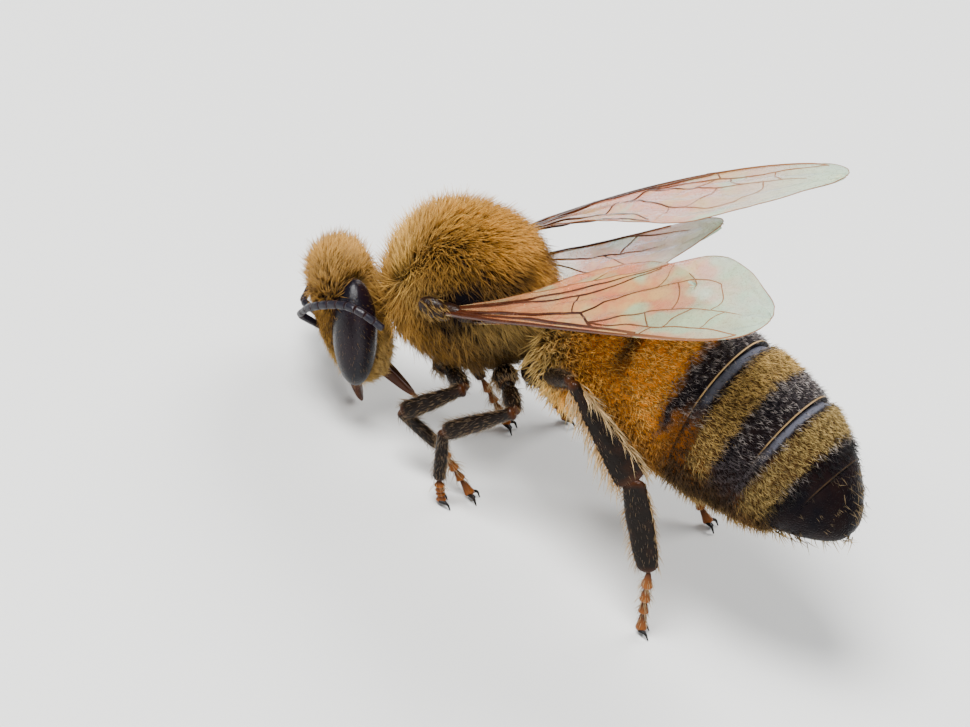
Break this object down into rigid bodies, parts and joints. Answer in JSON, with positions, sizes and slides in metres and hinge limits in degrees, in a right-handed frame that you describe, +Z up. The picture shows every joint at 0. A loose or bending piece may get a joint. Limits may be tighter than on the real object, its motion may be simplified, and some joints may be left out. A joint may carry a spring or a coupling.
{
  "type": "honey bee model",
  "caption": "Life-size worker honey bee standing on its feet, wings half raised, with a furry thorax and a banded abdomen.",
  "frame": {"origin": "under the middle of the bee's bounding box, on the floor it stands on", "axes": "+X from head to tail, +Y to the bee's right side, +Z up from the floor"},
  "size_m": [0.0144, 0.0078, 0.0116],
  "materials": {
    "golden_fur": "dense golden fur",
    "brown_fur": "short brown fur",
    "banded_fur": "short tan and black hair over grey-black shell",
    "dark_shell": "smooth dark shell",
    "eye": "glossy blue-black facets",
    "feeler": "blue-black, fine sheen",
    "mouthparts": "reddish-brown shell",
    "wing": "clear membrane with brown veins and a faint iridescence",
    "root_plate": "dark brown shell",
    "leg": "near-black shell with golden bristles",
    "toe": "orange-brown shell with black claws"
  },
  "bodies": {
    "root": {"thorax": "golden_fur", "head": "brown_fur", "neck": "dark_shell", "petiole": "dark_shell", "proboscis": "mouthparts", "eye_left": "eye", "antenna_left_scape": "feeler", "antenna_left_flagellum": "feeler", "mandible_left": "mouthparts", "forewing_left": "wing", "hindwing_left": "wing", "tegula_left": "root_plate", "eye_right": "eye", "antenna_right_scape": "feeler", "antenna_right_flagellum": "feeler", "mandible_right": "mouthparts", "forewing_right": "wing", "hindwing_right": "wing", "tegula_right": "root_plate", "abdomen_1": "golden_fur", "abdomen_2": "golden_fur", "abdomen_3": "golden_fur", "abdomen_4": "banded_fur", "abdomen_5": "banded_fur", "abdomen_6": "dark_shell", "leg_front_left_coxa": "leg", "leg_front_left_femur": "leg", "leg_front_left_tibia": "leg", "leg_front_left_basitarsus": "leg", "leg_front_left_tarsus": "toe", "leg_front_right_coxa": "leg", "leg_front_right_femur": "leg", "leg_front_right_tibia": "leg", "leg_front_right_basitarsus": "leg", "leg_front_right_tarsus": "toe", "leg_middle_left_coxa": "leg", "leg_middle_left_femur": "leg", "leg_middle_left_tibia": "leg", "leg_middle_left_basitarsus": "leg", "leg_middle_left_tarsus": "toe", "leg_middle_right_coxa": "leg", "leg_middle_right_femur": "leg", "leg_middle_right_tibia": "leg", "leg_middle_right_basitarsus": "leg", "leg_middle_right_tarsus": "toe", "leg_hind_left_coxa": "leg", "leg_hind_left_femur": "leg", "leg_hind_left_tibia": "leg", "leg_hind_left_basitarsus": "leg", "leg_hind_left_tarsus": "toe", "leg_hind_right_coxa": "leg", "leg_hind_right_femur": "leg", "leg_hind_right_tibia": "leg", "leg_hind_right_basitarsus": "leg", "leg_hind_right_tarsus": "toe"}
  },
  "joints": []
}
